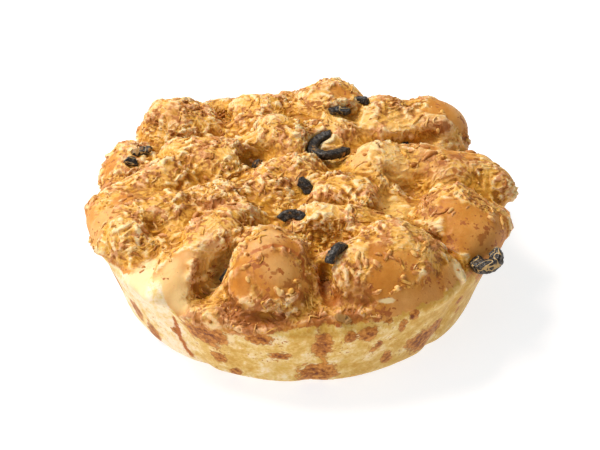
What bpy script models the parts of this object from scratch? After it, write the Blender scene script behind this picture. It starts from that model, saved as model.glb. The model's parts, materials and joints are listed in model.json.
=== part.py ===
"""Round pull-apart bread with sliced black olives and baked grated cheese.

Dough pieces are piled in a round tin with a sloping wall. The lower part takes the tin's
smooth shape, and the pieces above the rim swell into an uneven crown. The whole loaf is
one solid. Each olive slice is a solid of its own, seated in a socket in the dough.

Metres, +Z up. The origin is on the table, under the middle of the loaf.
"""

import math
import random

import bmesh
import bpy
from mathutils import Euler, Matrix, Vector, noise
from mathutils.bvhtree import BVHTree

MM = 0.001

# The part that the tin shaped.
BASE_RADIUS = 81 * MM
RIM_RADIUS = 92.5 * MM
RIM_HEIGHT = 35 * MM
CORNER_RADIUS = 4 * MM
# Cut off below the table's height once the loaf is one skin.
BASE_TRIM = 1.5 * MM
DOME_RADIUS = 90 * MM
DOME_HEIGHT = 49 * MM

# How finely the loaf is meshed.
VOXEL = 1.6 * MM
LOAF_TRIANGLES = 7600

# Relief of the crown, out and in.
SWELL = 2.0 * MM
CRAG = 0.9 * MM

# Creases where neighbouring pieces met along the tin's wall.
CREASE_DEPTH = 2.4 * MM
CREASE_WIDTH = 3.2 * MM
# Angle around the loaf in degrees, and how far the crease leans over the wall's height.
CREASES = [(-85, 4), (-124, -9), (-43, 5), (21, -6), (74, 7), (129, -4), (176, 8)]

# Grated cheese baked onto the crown.
SHRED_COUNT = 24
SHRED_LENGTH = (11 * MM, 19 * MM)
SHRED_WIDTH = 2.6 * MM
SHRED_HEIGHT = 1.8 * MM

# Clear gap between an olive and its socket.
SOCKET_GAP = 0.35 * MM

# Dough pieces of the crown, in millimetres: place of the middle, half sizes along its
# own length, width and height, and its turn and lean in degrees.
LUMPS = {
    "front_ball": ((-11, -62, 41), (21, 25, 21), 0, 0),
    "front_left_band": ((-42, -50, 41), (34, 15, 16), 50, -13),
    "front_right_face": ((37, -53, 40), (30, 25, 20), 12, 4),
    "front_right_fold": ((52, -60, 33), (26, 19, 13), 40, 0),
    "right_face": ((70.5, -24, 39), (22, 26, 19), 0, 0),
    "right_ridge": ((64, 14, 41), (35, 17, 15), -18, 0),
    "right_back": ((60, 57, 39), (26, 22, 18), 40, 0),
    "right_back_ridge": ((41, 56, 45), (17, 19, 13), 10, 0),
    "back_peak": ((15, 66, 46), (19, 16, 18), 0, 0),
    "back_left_ridge": ((-17, 64, 41), (23, 18, 15), 12, -6),
    "left_back": ((-56, 55, 40), (25, 20, 18), -20, 0),
    "left_small": ((-76, 25, 37), (15, 18, 15), 0, 0),
    "left_front": ((-67, -20, 38), (27, 30, 18), 25, 0),
    "left_front_ridge": ((-60, 5, 44), (22, 12, 12), 20, 0),
    "middle_back": ((-9, 36, 46), (20, 18, 14), 30, 0),
    "middle_left_ridge": ((-40, 20, 45), (25, 17, 13), -15, 0),
    "middle_left_front": ((-34, -13, 44), (22, 14, 12), 10, 0),
    "middle": ((-4, 4, 46), (21, 18, 11), 0, 0),
    "middle_front": ((20, -10, 46), (20, 15, 12), -10, 0),
    "middle_right": ((37, 14, 46), (17, 19, 12), 0, 0),
    "pit_back_ridge": ((22, -32, 47), (30, 10, 10), -6, 0),
    "back_middle": ((14, 44, 44), (18, 18, 12), 0, 0),
    "back_rim_left": ((-34, 72, 34), (24, 17, 13), 18, 0),
    "back_rim_middle": ((2, 79, 34), (23, 17, 14), 0, 0),
    "back_rim_right": ((36, 72, 33), (23, 18, 14), -25, 0),
    "left_rim": ((-78, -2, 33), (18, 25, 13), 0, 0),
    "front_rim_left": ((-56, -60, 34), (25, 15, 9), -45, 0),
    "front_rim": ((-3, -77, 33), (30, 15, 5), 0, 0),
    "right_rim": ((80, 8, 33), (16, 28, 13), 5, 0),
}

# Deep hollows between pieces, in the same terms.
HOLLOWS = {
    "front_left_hollow": ((-36, -62, 51), (6, 16, 14), -38, 0),
    "front_gap": ((12, -69, 50), (4, 15, 16), 8, 0),
    "under_ball": ((-14, -90, 40.5), (21, 9, 2.6), 6, 0),
    "pit": ((13, -44, 56), (13, 9, 12), -20, 0),
    "right_hollow": ((50, 0, 54), (14, 7, 11), -25, 0),
    "right_face_gap": ((60, -42, 50), (4, 15, 10), 48, 0),
    "left_middle_hollow": ((-20, 19, 57), (10, 7, 11), 20, 0),
    "middle_gap": ((-22, -14, 58), (13, 5, 9), -30, 0),
    "back_left_notch": ((-37, 66, 52), (5, 16, 11), 20, 0),
    "back_left_gap": ((-28, 44, 56), (14, 4, 9), -35, 0),
    "back_peak_cave": ((25, 53, 56), (8, 4, 6), 0, 0),
    "right_back_hollow": ((50, 38, 52), (18, 5, 10), 6, 0),
    "left_hollow": ((-72, 8, 52), (14, 4, 8), 10, 0),
    "left_back_gap": ((-66, 33, 50), (14, 4, 9), 12, 0),
    "left_front_gap": ((-58, -41, 53), (14, 4, 6), -50, 0),
}

# Olive slices. Each is a piece of a ring: where it lies, in millimetres from the middle of
# the loaf, its outer and inner radius and thickness, and how much of the ring is there.
# Then its spin in its own plane, its turn about the crust's outward direction, where 0 is
# to the right, its tilt out of the crust, in degrees, and how far its middle stands proud.
OLIVES = {
    "olive_centre_ring": ((12, 26.5), (10.2, 6.0, 3.8), 260, 85, 0, -3, 3.4),
    "olive_centre_block": ((3.5, -8.5), (8.5, 4.4, 4.2), 62, 20, 326, 60, 1.2),
    "olive_pit_left": ((-2.6, -30.5), (8.0, 4.0, 3.6), 110, 35, 0, 50, 0.8),
    "olive_pit_front": ((16, -62.5), (9.6, 6.2, 4.0), 100, 40, 50, 88, 2.2),
    "olive_back_left": ((19, 52), (8.0, 4.6, 3.0), 90, 45, 0, 20, 1.6),
    "olive_back_right": ((30, 60), (5.0, 2.2, 3.2), 120, 150, 201, 20, 1.0),
    "olive_left_grey": ((-73, 24), (7.4, 3.8, 3.2), 90, 45, 20, 15, 0.6),
    "olive_left_end": ((-77, 16), (7.0, 3.0, 4.4), 60, 220, 13, 50, 1.0),
    "olive_right_crescent": ((47, 37), (8.6, 5.2, 3.4), 110, 35, 218, 5, 1.3),
    "olive_hollow_left": ((-19, 16), (8.0, 4.4, 3.6), 110, 300, 191, 30, 0.9),
    "olive_fold_chip": ((-30.5, -60), (7.0, 3.6, 3.2), 50, 10, 239, 45, 1.9),
}
# Slices on the loaf's side: angle around the loaf and height instead of a place.
SIDE_OLIVES = {
    "olive_right_edge": ((-30, 42), (7.2, 2.0, 5.2), 250, 305, 206, 72, 3.0),
    "olive_front_grey": ((-77.8, 39.8), (5.4, 2.4, 2.8), 90, 0, 32, 20, 0.2),
    "olive_back_edge": ((107, 37), (8.8, 4.8, 3.6), 140, 200, 0, 0, -0.4),
    "olive_right_back": ((52, 41), (8.6, 4.6, 3.6), 120, 250, 0, 35, 0.6),
    "olive_left_back": ((120, 37), (8.4, 4.6, 3.6), 160, 80, 0, 15, 0.4),
}


def clear_scene():
    for obj in list(bpy.data.objects):
        bpy.data.objects.remove(obj)


def link_mesh(name, bm):
    """A new object in the scene that takes over this bmesh."""
    mesh = bpy.data.meshes.new(name)
    bm.to_mesh(mesh)
    bm.free()
    obj = bpy.data.objects.new(name, mesh)
    bpy.context.scene.collection.objects.link(obj)
    return obj


def apply_modifiers(obj):
    """The object's evaluated mesh takes the place of its mesh and modifiers."""
    graph = bpy.context.evaluated_depsgraph_get()
    mesh = bpy.data.meshes.new_from_object(obj.evaluated_get(graph))
    obj.modifiers.clear()
    obj.data = mesh


def fade(low, high, value):
    """0 below low, 1 above high, and a smooth step between."""
    share = min(max((value - low) / (high - low), 0.0), 1.0)
    return share * share * (3 - 2 * share)


def wall_radius(height):
    """Radius of the tin's inner side at this height."""
    return BASE_RADIUS + (RIM_RADIUS - BASE_RADIUS) * height / RIM_HEIGHT


def wall_profile():
    """Radius and height of the tin-shaped part, from under the table to the rim."""
    return [
        (wall_radius(0) - CORNER_RADIUS, -BASE_TRIM),
        (wall_radius(0) - CORNER_RADIUS * 0.3, CORNER_RADIUS * 0.3 - BASE_TRIM),
        (wall_radius(CORNER_RADIUS), CORNER_RADIUS - BASE_TRIM),
        (wall_radius(RIM_HEIGHT * 0.5), RIM_HEIGHT * 0.5),
        (RIM_RADIUS, RIM_HEIGHT),
    ]


def turned(name, profile):
    """A round body from this outer profile, closed at the top and the bottom."""
    bm = bmesh.new()
    sides = 96
    rings = []
    for radius, height in profile:
        ring = []
        for side in range(sides):
            angle = math.tau * side / sides
            place = (radius * math.cos(angle), radius * math.sin(angle), height)
            ring.append(bm.verts.new(place))
        rings.append(ring)
    for lower, upper in zip(rings[:-1], rings[1:]):
        for side in range(sides):
            after = (side + 1) % sides
            bm.faces.new((lower[side], lower[after], upper[after], upper[side]))
    bm.faces.new(reversed(rings[0]))
    bm.faces.new(rings[-1])
    return link_mesh(name, bm)


def tin_part():
    """The drum that the tin shaped."""
    above = (RIM_RADIUS - 4 * MM, RIM_HEIGHT + 5 * MM)
    return turned("tin_part", wall_profile() + [above])


def room():
    """All the space that the dough could rise into: the tin, and more above its rim."""
    above = []
    for out, up in ((2.5, 2), (6, 5), (9, 9), (11, 15), (11, 60)):
        above.append((RIM_RADIUS + out * MM, RIM_HEIGHT + up * MM))
    return turned("room", wall_profile() + above)


def rough_ball(name, middle, half_sizes, turn, lean, seed):
    """A dough piece: an ellipsoid with soft uneven swellings."""
    bm = bmesh.new()
    bmesh.ops.create_icosphere(bm, subdivisions=4, radius=1.0)
    shift = Vector((seed * 3.7, seed * 1.9, seed * 5.3))
    for vert in bm.verts:
        swell = 0.18 * noise.noise(vert.co * 1.1 + shift)
        swell += 0.09 * noise.noise(vert.co * 2.6 + shift)
        vert.co *= 1.0 + swell
    size = Matrix.Diagonal((*half_sizes, 1.0))
    facing = Euler((0, math.radians(lean), math.radians(turn))).to_matrix().to_4x4()
    place = Matrix.Translation(middle) @ facing
    bmesh.ops.transform(bm, matrix=Matrix.Scale(MM, 4) @ place @ size, verts=bm.verts)
    return link_mesh(name, bm)


def dome():
    """The dough between the pieces, so that no gap in the crown reaches the table."""
    bm = bmesh.new()
    bmesh.ops.create_icosphere(bm, subdivisions=5, radius=1.0)
    rise = DOME_HEIGHT - RIM_HEIGHT
    size = Matrix.Diagonal((DOME_RADIUS, DOME_RADIUS, rise, 1.0))
    place = Matrix.Translation((0, 0, RIM_HEIGHT)) @ size
    bmesh.ops.transform(bm, matrix=place, verts=bm.verts)
    return link_mesh("dome", bm)


def joined(objects, name):
    """One object that holds the meshes of all of these."""
    bm = bmesh.new()
    for obj in objects:
        bm.from_mesh(obj.data)
        bpy.data.objects.remove(obj)
    return link_mesh(name, bm)


def fused_loaf():
    """Drum, dome and dough pieces as one skin."""
    pieces = [tin_part(), dome()]
    for seed, (name, (middle, half_sizes, turn, lean)) in enumerate(LUMPS.items()):
        pieces.append(rough_ball(name, middle, half_sizes, turn, lean, seed))
    loaf = joined(pieces, "loaf")
    tin = room()
    hollows = []
    for name, (middle, half_sizes, turn, lean) in HOLLOWS.items():
        hollows.append(rough_ball(name, middle, half_sizes, turn, lean, len(hollows) + 40))
    hollows = joined(hollows, "hollows")
    skin = loaf.modifiers.new("One skin", "REMESH")
    skin.mode = "VOXEL"
    skin.voxel_size = VOXEL
    held = loaf.modifiers.new("Held in by the tin", "BOOLEAN")
    held.operation = "INTERSECT"
    held.object = tin
    hollowed = loaf.modifiers.new("Hollows", "BOOLEAN")
    hollowed.operation = "DIFFERENCE"
    hollowed.object = hollows
    skin = loaf.modifiers.new("Even skin", "REMESH")
    skin.mode = "VOXEL"
    skin.voxel_size = VOXEL
    soft = loaf.modifiers.new("Soft creases", "SMOOTH")
    soft.factor = 0.5
    soft.iterations = 5
    apply_modifiers(loaf)
    bpy.data.objects.remove(tin)
    bpy.data.objects.remove(hollows)
    return loaf


def crease_depth(place):
    """How far the wall's surface lies in at this place, in metres."""
    angle = math.degrees(math.atan2(place.y, place.x))
    radius = math.hypot(place.x, place.y)
    depth = 0.0
    for middle, lean in CREASES:
        wave = 2.5 * noise.noise(Vector((middle, place.z / MM * 0.12, 0)))
        line = middle + wave + lean * (place.z / RIM_HEIGHT - 0.5)
        away = (angle - line + 180) % 360 - 180
        across = math.radians(away) * radius
        depth = max(depth, CREASE_DEPTH * math.exp(-((across / CREASE_WIDTH) ** 2)))
    return depth


def add_relief(loaf):
    """Swellings and crags on the crown, and creases down the wall."""
    bm = bmesh.new()
    bm.from_mesh(loaf.data)
    bm.normal_update()
    moves = []
    for vert in bm.verts:
        place = vert.co / MM
        crown = fade(RIM_HEIGHT - 3 * MM, RIM_HEIGHT + 6 * MM, vert.co.z)
        swell = SWELL * noise.noise(place * 0.05)
        crag = 1.0 - 2.6 * abs(noise.noise(place * 0.085 + Vector((7, 1, 4))))
        crag += 0.6 * noise.noise(place * 0.21)
        out = crown * (swell + CRAG * crag)
        wall = 1.0 - fade(RIM_HEIGHT, RIM_HEIGHT + 7 * MM, vert.co.z)
        rough = 0.5 * MM * noise.noise(place * 0.07) - crease_depth(vert.co)
        out += wall * rough * abs(vert.normal.xy.length)
        moves.append(vert.normal * out)
    for vert, move in zip(bm.verts, moves):
        vert.co += move
    bm.to_mesh(loaf.data)
    bm.free()


def fewer_triangles(loaf):
    """The same shape with about the wanted number of triangles."""
    skin = loaf.modifiers.new("One skin after the relief", "REMESH")
    skin.mode = "VOXEL"
    skin.voxel_size = VOXEL * 0.8
    apply_modifiers(loaf)
    loaf.data.calc_loop_triangles()
    fewer = loaf.modifiers.new("Fewer triangles", "DECIMATE")
    fewer.ratio = LOAF_TRIANGLES / len(loaf.data.loop_triangles)
    fewer.use_collapse_triangulate = True
    apply_modifiers(loaf)


def trim_base(loaf):
    """A flat underside at the table's height."""
    bm = bmesh.new()
    bmesh.ops.create_cube(bm, size=1.0)
    place = Matrix.Translation((0, 0, -0.05)) @ Matrix.Diagonal((0.3, 0.3, 0.1, 1.0))
    bmesh.ops.transform(bm, matrix=place, verts=bm.verts)
    table = link_mesh("table", bm)
    cut = loaf.modifiers.new("Flat base", "BOOLEAN")
    cut.operation = "DIFFERENCE"
    cut.object = table
    apply_modifiers(loaf)
    bpy.data.objects.remove(table)


def surface_of(obj):
    """The object's skin, ready for finding places on it."""
    bm = bmesh.new()
    bm.from_mesh(obj.data)
    tree = BVHTree.FromBMesh(bm)
    bm.free()
    return tree


def cheese_shred(name, skin, start, heading, length, bend):
    """A flat-topped strip that follows the crust, half sunk in it."""
    bm = bmesh.new()
    steps = 3
    point, normal = start
    along = heading
    rings = []
    for step in range(steps + 1):
        along = (along - normal * along.dot(normal)).normalized()
        across = normal.cross(along)
        size = 1.0 if 0 < step < steps else 0.55
        ring = []
        for side, up in ((-0.5, -0.45), (0.5, -0.45), (0.34, 0.55), (-0.34, 0.55)):
            place = point + across * (side * size * SHRED_WIDTH)
            ring.append(bm.verts.new(place + normal * (up * size * SHRED_HEIGHT)))
        rings.append(ring)
        ahead = point + along * (length / steps)
        point, normal, face, away = skin.find_nearest(ahead)
        along = along + across * bend
    for before, after in zip(rings[:-1], rings[1:]):
        for side in range(4):
            other = (side + 1) % 4
            bm.faces.new((before[side], after[side], after[other], before[other]))
    bm.faces.new(rings[0])
    bm.faces.new(reversed(rings[-1]))
    bmesh.ops.recalc_face_normals(bm, faces=bm.faces)
    return link_mesh(name, bm)


def shreds_on(loaf, taken):
    """Cheese strips over the crown, clear of each other and of these places."""
    rng = random.Random(11)
    skin = surface_of(loaf)
    shreds = []
    taken = list(taken)
    while len(shreds) < SHRED_COUNT:
        angle = rng.uniform(0, math.tau)
        radius = 90 * MM * math.sqrt(rng.random())
        above = Vector((radius * math.cos(angle), radius * math.sin(angle), 0.1))
        point, normal, face, away = skin.ray_cast(above, Vector((0, 0, -1)))
        turn = rng.uniform(0, math.tau)
        length = rng.uniform(*SHRED_LENGTH)
        bend = rng.uniform(-0.5, 0.5)
        if point is None or point.z < RIM_HEIGHT + 4 * MM or normal.z < 0.25:
            continue
        heading = Vector((math.cos(turn), math.sin(turn), 0))
        middle = point + heading * length * 0.5
        if any((middle - place).length < 13.5 * MM for place in taken):
            continue
        taken.append(middle)
        name = "shred_%02d" % len(shreds)
        shreds.append(cheese_shred(name, skin, (point, normal), heading, length, bend))
    return shreds


def combine(loaf, operands, operation):
    """One Boolean of the loaf with all of these objects, which it uses up."""
    group = bpy.data.collections.new(operation.lower())
    for obj in operands:
        group.objects.link(obj)
    change = loaf.modifiers.new(operation.title(), "BOOLEAN")
    change.operation = operation
    change.operand_type = "COLLECTION"
    change.collection = group
    apply_modifiers(loaf)
    for obj in operands:
        bpy.data.objects.remove(obj)
    bpy.data.collections.remove(group)


def drop_scraps(loaf):
    """Only the largest body stays."""
    bm = bmesh.new()
    bm.from_mesh(loaf.data)
    left = set(bm.verts)
    bodies = []
    while left:
        body = []
        queue = [left.pop()]
        while queue:
            vert = queue.pop()
            body.append(vert)
            for edge in vert.link_edges:
                other = edge.other_vert(vert)
                if other in left:
                    left.remove(other)
                    queue.append(other)
        bodies.append(body)
    bodies.sort(key=len)
    for body in bodies[:-1]:
        bmesh.ops.delete(bm, geom=body, context="VERTS")
    bm.to_mesh(loaf.data)
    bm.free()


def olive_slice(name, sizes, share, extra):
    """A piece of a ring cut from a stoned olive, its middle at its own origin."""
    outer, inner, thick = [size * MM for size in sizes]
    outer += extra
    inner -= extra
    half = thick / 2 + extra
    section = [
        (inner, -half * 0.8),
        (inner, half * 0.8),
        (outer * 0.94, half),
        (outer, half * 0.35),
        (outer, -half * 0.35),
        (outer * 0.94, -half),
    ]
    steps = max(3, round(share / 24))
    spare = extra / outer
    bm = bmesh.new()
    rings = []
    middle = Vector((0, 0, 0))
    for step in range(steps + 1):
        part = step / steps
        angle = math.radians(share) * part + spare * 2 * (part - 0.5)
        wobble = 1 + 0.05 * math.sin(2.3 * angle + share)
        warp = 0.09 * (outer - extra) * math.sin(1.7 * angle + share)
        ring = []
        for radius, height in section:
            radius *= wobble
            place = (radius * math.cos(angle), radius * math.sin(angle), height + warp)
            ring.append(bm.verts.new(place))
        rings.append(ring)
    for before, after in zip(rings[:-1], rings[1:]):
        for side in range(6):
            other = (side + 1) % 6
            bm.faces.new((before[side], before[other], after[other], after[side]))
    bm.faces.new(reversed(rings[0]))
    bm.faces.new(rings[-1])
    bmesh.ops.recalc_face_normals(bm, faces=bm.faces)
    mean = (sizes[0] + sizes[1]) / 2 * MM
    turn = math.radians(share) / 2
    reach = mean * math.sin(turn) / turn
    middle = Vector((reach * math.cos(turn), reach * math.sin(turn), 0))
    bmesh.ops.translate(bm, vec=-middle, verts=bm.verts)
    return link_mesh(name, bm)


def olive_seats(loaf):
    """Where each olive slice lies on the loaf: point, outward direction and its row."""
    skin = surface_of(loaf)
    seats = {}
    for name, (place, *row) in OLIVES.items():
        above = Vector((place[0] * MM, place[1] * MM, 0.1))
        point, normal, face, away = skin.ray_cast(above, Vector((0, 0, -1)))
        seats[name] = (point, (normal + Vector((0, 0, 3))).normalized(), row)
    for name, ((angle, height), *row) in SIDE_OLIVES.items():
        outward = Vector((math.cos(math.radians(angle)), math.sin(math.radians(angle)), 0))
        outside = outward * 0.15 + Vector((0, 0, height * MM))
        point, normal, face, away = skin.ray_cast(outside, -outward)
        seats[name] = (point, normal, row)
    return seats


def facing_out(normal):
    """The turn that takes up to this direction and keeps right as far to the right as it can."""
    forward = Vector((0, 1, 0)) if normal.z > 0.6 else Vector((0, 0, 1))
    across = forward.cross(normal).normalized()
    return Matrix((across, normal.cross(across), normal)).transposed().to_4x4()


def placed_olive(name, seat, extra):
    """An olive slice in its seat, larger all round by extra."""
    point, normal, (sizes, share, spin, turn, tilt, proud) = seat
    obj = olive_slice(name, sizes, share, extra)
    facing = facing_out(normal)
    lean = Euler((math.radians(tilt), 0, math.radians(turn))).to_matrix().to_4x4()
    own = Matrix.Rotation(math.radians(spin), 4, "Z")
    lift = Matrix.Translation(point + normal * proud * MM)
    obj.data.transform(lift @ facing @ lean @ own)
    return obj


def stand_on_origin(objects):
    """All of them moved together so that the loaf's middle is over the origin."""
    corners = []
    for obj in objects:
        corners += [vert.co for vert in obj.data.vertices]
    low = Vector([min(corner[axis] for corner in corners) for axis in range(3)])
    high = Vector([max(corner[axis] for corner in corners) for axis in range(3)])
    shift = Vector((-(low.x + high.x) / 2, -(low.y + high.y) / 2, -low.z))
    for obj in objects:
        obj.data.transform(Matrix.Translation(shift))
    return shift, high - low


def give_material(obj, colour, roughness):
    """A material of the object's own."""
    material = bpy.data.materials.new(obj.name)
    material.use_nodes = True
    shader = material.node_tree.nodes["Principled BSDF"]
    shader.inputs["Base Color"].default_value = (*colour, 1.0)
    shader.inputs["Roughness"].default_value = roughness
    shader.inputs["Metallic"].default_value = 0.0
    obj.data.materials.clear()
    obj.data.materials.append(material)


clear_scene()
LOAF = fused_loaf()
add_relief(LOAF)
fewer_triangles(LOAF)
trim_base(LOAF)
SEATS = olive_seats(LOAF)
combine(LOAF, shreds_on(LOAF, [seat[0] for seat in SEATS.values()]), "UNION")
SOCKETS = [placed_olive(name + "_socket", seat, SOCKET_GAP) for name, seat in SEATS.items()]
combine(LOAF, SOCKETS, "DIFFERENCE")
drop_scraps(LOAF)
OLIVE_PIECES = [placed_olive(name, seat, 0.0) for name, seat in SEATS.items()]
SHIFT, SIZE = stand_on_origin([LOAF] + OLIVE_PIECES)
give_material(LOAF, (0.66, 0.38, 0.12), 0.6)
for piece in OLIVE_PIECES:
    give_material(piece, (0.03, 0.028, 0.032), 0.35)
print("moved by", [round(value / MM, 2) for value in SHIFT], "mm")
print("size", [round(value / MM, 1) for value in SIZE], "mm")
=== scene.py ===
# %% [markdown]
# # A round pull-apart bread with olives and baked cheese
#
# Pieces of dough are piled in a round tin, strewn with grated cheese and sliced black
# olives, and baked until they join. The CAD model has the whole loaf as one solid and each
# olive slice as another. This lesson dresses those solids: it grows the cheese crust out of
# the loaf's own surface, colours it as the oven did with some painted light and shade laid
# into the colour, and turns the olive solids into wrinkled slices.

# %% Load the solids
import bpy
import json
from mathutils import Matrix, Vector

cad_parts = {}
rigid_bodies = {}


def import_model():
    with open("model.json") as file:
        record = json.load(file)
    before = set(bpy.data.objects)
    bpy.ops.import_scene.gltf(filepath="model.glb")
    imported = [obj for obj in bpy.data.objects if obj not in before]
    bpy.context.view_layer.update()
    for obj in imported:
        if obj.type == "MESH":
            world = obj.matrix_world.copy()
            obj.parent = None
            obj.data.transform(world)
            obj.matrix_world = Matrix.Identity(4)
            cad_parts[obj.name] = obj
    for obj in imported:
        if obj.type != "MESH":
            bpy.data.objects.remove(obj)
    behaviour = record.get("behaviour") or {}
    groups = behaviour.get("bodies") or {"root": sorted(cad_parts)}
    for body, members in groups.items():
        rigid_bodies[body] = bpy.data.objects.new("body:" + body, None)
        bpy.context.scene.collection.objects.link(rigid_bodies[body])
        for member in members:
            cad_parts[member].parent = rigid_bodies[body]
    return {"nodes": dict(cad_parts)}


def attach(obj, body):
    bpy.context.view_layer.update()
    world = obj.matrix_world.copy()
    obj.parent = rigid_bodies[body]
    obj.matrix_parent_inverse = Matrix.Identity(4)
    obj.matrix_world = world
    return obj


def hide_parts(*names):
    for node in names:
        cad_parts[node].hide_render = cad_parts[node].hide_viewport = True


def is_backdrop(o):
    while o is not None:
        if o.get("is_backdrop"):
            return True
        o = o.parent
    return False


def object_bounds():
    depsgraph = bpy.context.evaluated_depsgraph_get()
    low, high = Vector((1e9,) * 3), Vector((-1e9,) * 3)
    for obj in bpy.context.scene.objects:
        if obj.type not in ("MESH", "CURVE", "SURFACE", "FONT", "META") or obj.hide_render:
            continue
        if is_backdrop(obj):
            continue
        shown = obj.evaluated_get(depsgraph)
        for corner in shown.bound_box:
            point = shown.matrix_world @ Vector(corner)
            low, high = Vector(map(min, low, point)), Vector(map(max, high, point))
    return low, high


for leftover in list(bpy.data.objects):
    bpy.data.objects.remove(leftover)

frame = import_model()
CAD_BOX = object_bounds()
MM = 0.001
print("CAD box, mm:", [[round(value / MM, 1) for value in corner] for corner in CAD_BOX])

# %% [markdown]
# ## The skin of the dough
#
# Under the cheese the loaf is one smooth, stretched skin. The CAD solid has the right form,
# but its flat faces are a few millimetres across. It could be subdivided, which would keep
# its uneven triangles. A voxel remesh gives an even net instead, and a light smoothing then
# melts the facets together.

# %% Skin of the dough
import bmesh
import numpy as np
from mathutils import Vector, noise
from mathutils.bvhtree import BVHTree

# How far apart the points of the even net lie.
NET = 0.82 * MM


def merged_copy(node, name):
    """A copy of a CAD node's mesh as a new object, its loose triangles joined up."""
    bm = bmesh.new()
    bm.from_mesh(frame["nodes"][node].data)
    bmesh.ops.remove_doubles(bm, verts=bm.verts, dist=0.01 * MM)
    mesh = bpy.data.meshes.new(name)
    bm.to_mesh(mesh)
    bm.free()
    obj = bpy.data.objects.new(name, mesh)
    bpy.context.scene.collection.objects.link(obj)
    return obj


def add_modifier(obj, title, kind, **settings):
    """A modifier on the object with these settings."""
    modifier = obj.modifiers.new(title, kind)
    for name, value in settings.items():
        setattr(modifier, name, value)
    return modifier


def make_plain(obj):
    """The object's finished shape becomes its plain mesh, and its modifiers go."""
    graph = bpy.context.evaluated_depsgraph_get()
    mesh = bpy.data.meshes.new_from_object(obj.evaluated_get(graph))
    obj.modifiers.clear()
    obj.data = mesh


dough = merged_copy("loaf", "dough_skin")
add_modifier(dough, "Even net", "REMESH", mode="VOXEL", voxel_size=NET)
add_modifier(dough, "Melt the facets", "SMOOTH", factor=0.5, iterations=70)
make_plain(dough)
print("skin of the dough:", len(dough.data.polygons), "faces")

# %% [markdown]
# ## Where the cheese lies
#
# The cheese covers nearly all of the crown, but some cheeks of dough swelled out from under
# it and stayed bare, and on others only a few shreds fell. Painting that by hand would be
# one way. Here each bare cheek is a ball in space, and a number on every vertex says how
# much cheese lies there: 0 inside a ball or below the tin's rim, and 1 elsewhere. Noise
# frays the edges. A second number says how densely the strips are strewn.

# %% Bare and thin places
# The tin's axis, in millimetres of the shared frame.
TIN_AXIS = Vector((-0.82, -1.45, 0))
# Bare cheeks of dough: x, y and z from the tin's axis and a radius.
BARE_CHEEKS = [
    (-7, -76, 57, 10.5), (-22, -72, 57, 5), (-24, -77, 52, 5), (0, -76, 51, 6),
    (-18, -64, 62, 5), (2, -85, 49, 5), (-12, -55, 64, 7.5), (-4, -62, 62, 5),
    (-49, -60, 53, 4), (-51, -66, 51, 5.5), (-54, -72, 47, 7.5), (-52, -79, 40, 5),
    (-57, -70, 40, 8), (-91, -32, 45, 6), (-84, -26, 50, 6), (-79, -19, 55, 5),
    (-94, -22, 40, 9), (-88, 21, 47, 5), (33, -64, 57, 5), (42, -70, 54, 8), (36, -76, 51, 8),
    (48, -66, 56, 5), (40, -81, 44, 6), (49, -78, 42, 7), (57, -71, 43, 7), (34, -84, 41, 4),
    (65, -64, 42, 7), (70, -41, 53, 9), (79, -43, 50, 9), (75, -33, 56, 7), (83, -36, 53, 7),
    (67, -29, 58, 5), (78, -45, 40, 7), (88, -33, 44, 9), (60, 52, 59, 4), (67, 55, 57, 6),
    (75, 52, 55, 6), (78, 53, 51, 6), (72, 62, 52, 10), (77, 60, 45, 9), (61, 22, 56, 3),
    (70, 19, 56, 3), (78, 16, 55, 3), (19, 61, 62, 5), (50, 82, 42, 12), (-20, 90, 42, 11),
    (-68, 62, 44, 10), (20, 88, 46, 8), (92, 22, 40, 10), (-90, 4, 40, 7), (27, 12, 57, 4),
]
# Where only a little cheese fell: x, y and z, a radius and the share that is missing.
THIN_PLACES = [
    (33, -40, 55, 8, 0.6), (43, -53, 60, 9, 0.75), (51, -61, 57, 8, 0.8),
    (27, -66, 55, 7, 0.7), (59, -63, 50, 7, 0.7), (36, 2, 56, 9, 0.7), (45, 10, 55, 9, 0.8),
    (55, 12, 56, 9, 0.75), (66, 10, 57, 8, 0.6), (30, -14, 57, 7, 0.5), (66, -24, 57, 8, 0.7),
    (62, -33, 55, 7, 0.6), (-22, 63, 55, 9, 0.7), (-33, 60, 51, 8, 0.5),
    (-18, -60, 63, 7, 0.8), (-42, -50, 57, 7, 0.6), (-50, -56, 53, 7, 0.6),
    (-74, -12, 54, 8, 0.5), (60, 45, 57, 9, 0.5), (5, 55, 60, 8, 0.4),
]
# The lowest edge of the browned crown: angle around the loaf and height.
CROWN_EDGE = [
    (-185, 37), (-170, 40), (-152, 37), (-146, 38), (-142, 40), (-139, 42), (-135, 45),
    (-131, 47), (-128.5, 47), (-125.5, 40), (-123.5, 33), (-120, 31), (-115, 31), (-110, 33),
    (-106, 33), (-98, 35), (-89, 38), (-80, 38), (-70, 37), (-62, 37), (-57, 39), (-51, 40),
    (-47, 42), (-43, 41), (-39, 38), (-30, 35), (-18, 37), (0, 40), (20, 36), (35, 39),
    (55, 36), (80, 40), (100, 36), (125, 40), (150, 36), (175, 37),
]


# %% Helpers for numbers on the mesh
def places_of(obj):
    """The object's vertices as rows of x, y and z from the tin's axis, in millimetres."""
    flat = np.zeros(len(obj.data.vertices) * 3)
    obj.data.vertices.foreach_get("co", flat)
    return flat.reshape(-1, 3) / MM - np.array(TIN_AXIS)


def angle_of(places):
    """The angle of each place around the tin's axis, from -180 to 180 degrees."""
    return np.degrees(np.arctan2(places[:, 1], places[:, 0]))


def above_edge(places):
    """How far each place lies above the crown's lowest edge, in millimetres."""
    angles, heights = zip(*CROWN_EDGE)
    return places[:, 2] - np.interp(angle_of(places), angles, heights)


def fade(low, high, values):
    """0 below low, 1 above high, and a smooth step between."""
    share = np.clip((values - low) / (high - low), 0, 1)
    return share * share * (3 - 2 * share)


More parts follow.
